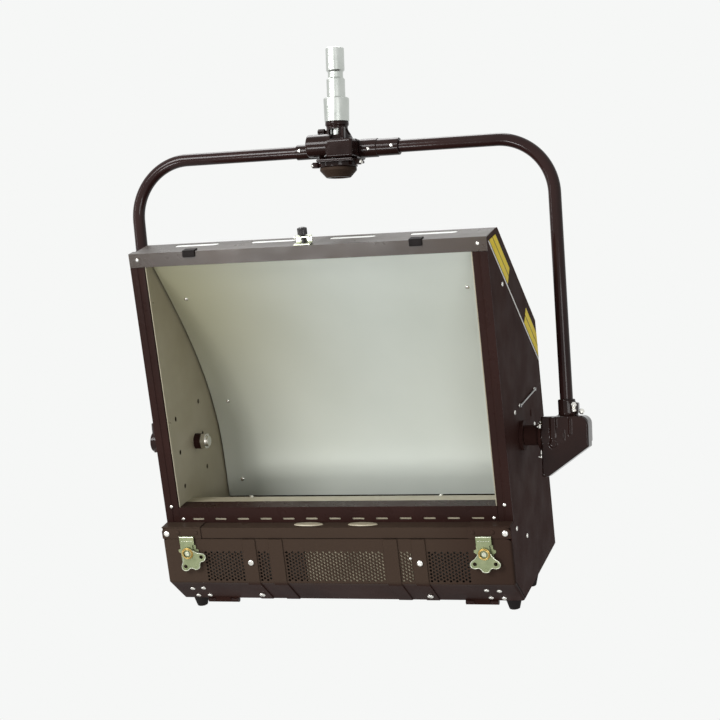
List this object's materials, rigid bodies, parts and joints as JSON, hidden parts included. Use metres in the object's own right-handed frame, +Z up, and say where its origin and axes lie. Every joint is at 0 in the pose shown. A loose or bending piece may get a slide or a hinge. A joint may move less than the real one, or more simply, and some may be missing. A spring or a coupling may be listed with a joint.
{
  "type": "studio soft light",
  "caption": "Hanging studio soft light: tilting open-front head with a curved reflector over hidden lamps, in a tube yoke with geared pan and tilt.",
  "frame": {"origin": "centre of the flat top face of the spigot that the light hangs from", "axes": "+Z up along the pan axis, +X to the right as seen from the front, -Y out of the front window with the yoke at its middle pan"},
  "size_m": [0.7136, 0.4046, 0.8468],
  "materials": {
    "black_paint": "satin black paint with a warm cast",
    "black_casting": "painted casting, slightly glossier than the sheet",
    "satin_aluminium": "satin rolled reflector sheet",
    "bright_plated_steel": "bright plated",
    "yellow_zinc": "yellow zinc plate",
    "machined_steel": "machined",
    "gear_bronze": "cut gear bronze",
    "black_rubber": "matte",
    "white_ceramic": "unglazed",
    "lamp_quartz": "clear quartz",
    "black_plastic": "fine grain"
  },
  "bodies": {
    "hanger": {"spigot": "bright_plated_steel", "pan_gear": "machined_steel"},
    "yoke": {"pan_casing": "black_casting", "pan_base_plate": "black_casting", "yoke_tube_left": "black_paint", "yoke_tube_right": "black_paint", "tube_sleeve_left": "black_casting", "tube_sleeve_right": "black_casting", "tilt_casing": "black_casting", "tilt_cover": "black_casting", "pivot_block_left": "black_casting", "pivot_bolt_left": "bright_plated_steel", "pivot_nut_left": "bright_plated_steel"},
    "pan_lay_gear": {"lay_gear": "machined_steel"},
    "pan_drive": {"pan_cup": "black_plastic", "pan_pinion": "machined_steel"},
    "tilt_drive": {"tilt_worm": "machined_steel", "tilt_cup": "black_plastic"},
    "head": {"side_panel_left": "black_paint", "side_panel_right": "black_paint", "end_plate_left": "satin_aluminium", "end_plate_right": "satin_aluminium", "top_panel": "black_paint", "back_panel": "black_paint", "base_panel": "black_paint", "reflector": "satin_aluminium", "frame_channel_left": "black_paint", "frame_channel_right": "black_paint", "top_bar": "black_paint", "slotted_sill": "black_paint", "lamp_housing_rail": "black_paint", "rail_bracket_left": "black_paint", "rail_bracket_right": "black_paint", "lamp_trough": "satin_aluminium", "lamp_shield": "satin_aluminium", "lamp_left": "lamp_quartz", "lamp_right": "lamp_quartz", "lampholder_left": "white_ceramic", "lampholder_centre": "white_ceramic", "lampholder_right": "white_ceramic", "terminal_box": "bright_plated_steel", "cable_gland": "black_plastic", "tilt_shaft": "machined_steel", "tilt_wheel": "gear_bronze", "pivot_bush_left": "black_paint", "foot_front_left": "black_rubber", "foot_front_right": "black_rubber", "foot_rear_left": "black_rubber", "foot_rear_right": "black_rubber", "door_hinge_left": "machined_steel", "door_hinge_right": "machined_steel", "latch_keeper_left": "yellow_zinc", "latch_keeper_right": "yellow_zinc", "catch_bracket": "bright_plated_steel"},
    "catch": {"catch_knob": "black_plastic"},
    "door": {"door": "black_paint"},
    "latch_hook_left": {"latch_hook_left": "yellow_zinc"},
    "latch_hook_right": {"latch_hook_right": "yellow_zinc"},
    "latch_wing_left": {"latch_wing_left": "yellow_zinc"},
    "latch_wing_right": {"latch_wing_right": "yellow_zinc"}
  },
  "joints": [
    {"name": "pan", "type": "hinge", "parent": "hanger", "child": "yoke", "pos_m": [0, 0, -0.15], "axis": [0, 0, 1], "range_deg": [-175, 175]},
    {"name": "pan_lay_gear", "type": "hinge", "parent": "yoke", "child": "pan_lay_gear", "pos_m": [0, -0.022, -0.16], "axis": [0, 0, 1], "range_deg": [-600, 600]},
    {"name": "pan_cup", "type": "hinge", "parent": "yoke", "child": "pan_drive", "pos_m": [0, 0, -0.18], "axis": [0, 0, 1], "range_deg": [-1050, 1050]},
    {"name": "tilt", "type": "hinge", "parent": "yoke", "child": "head", "pos_m": [0, 0, -0.59], "axis": [1, 0, 0], "range_deg": [-105, 75]},
    {"name": "tilt_cup", "type": "hinge", "parent": "yoke", "child": "tilt_drive", "pos_m": [0.324, 0.0235, -0.59], "axis": [0, 0, 1], "range_deg": [-2300, 3200]},
    {"name": "frame_catch", "type": "slide", "parent": "head", "child": "catch", "axis": [0, -0.2622, 0.965], "range_m": [0, 0.008]},
    {"name": "lamp_door", "type": "hinge", "parent": "head", "child": "door", "pos_m": [0, -0.0062, -0.83417], "axis": [1, 0, 0], "range_deg": [0, 95]},
    {"name": "latch_left", "type": "hinge", "parent": "door", "child": "latch_wing_left", "pos_m": [-0.23, -0.07795, -0.75315], "axis": [0, -0.965, -0.2622], "range_deg": [-29, 151]},
    {"name": "latch_hook_left", "type": "slide", "parent": "door", "child": "latch_hook_left", "axis": [0, -0.2622, 0.965], "range_m": [-0.00145, 0.00755]},
    {"name": "latch_right", "type": "hinge", "parent": "door", "child": "latch_wing_right", "pos_m": [0.23, -0.07795, -0.75315], "axis": [0, -0.965, -0.2622], "range_deg": [0, 180]},
    {"name": "latch_hook_right", "type": "slide", "parent": "door", "child": "latch_hook_right", "axis": [0, -0.2622, 0.965], "range_m": [0, 0.009]}
  ],
  "couplings": [
    {"joint": "pan_lay_gear", "follows": "pan", "ratio": 3.4},
    {"joint": "pan_cup", "follows": "pan", "ratio": -5.95},
    {"joint": "tilt_cup", "follows": "tilt", "ratio": -30},
    {"joint": "latch_hook_left", "follows": "latch_left", "m_per_rad": 0.0028619},
    {"joint": "latch_hook_right", "follows": "latch_right", "m_per_rad": 0.0028619}
  ]
}
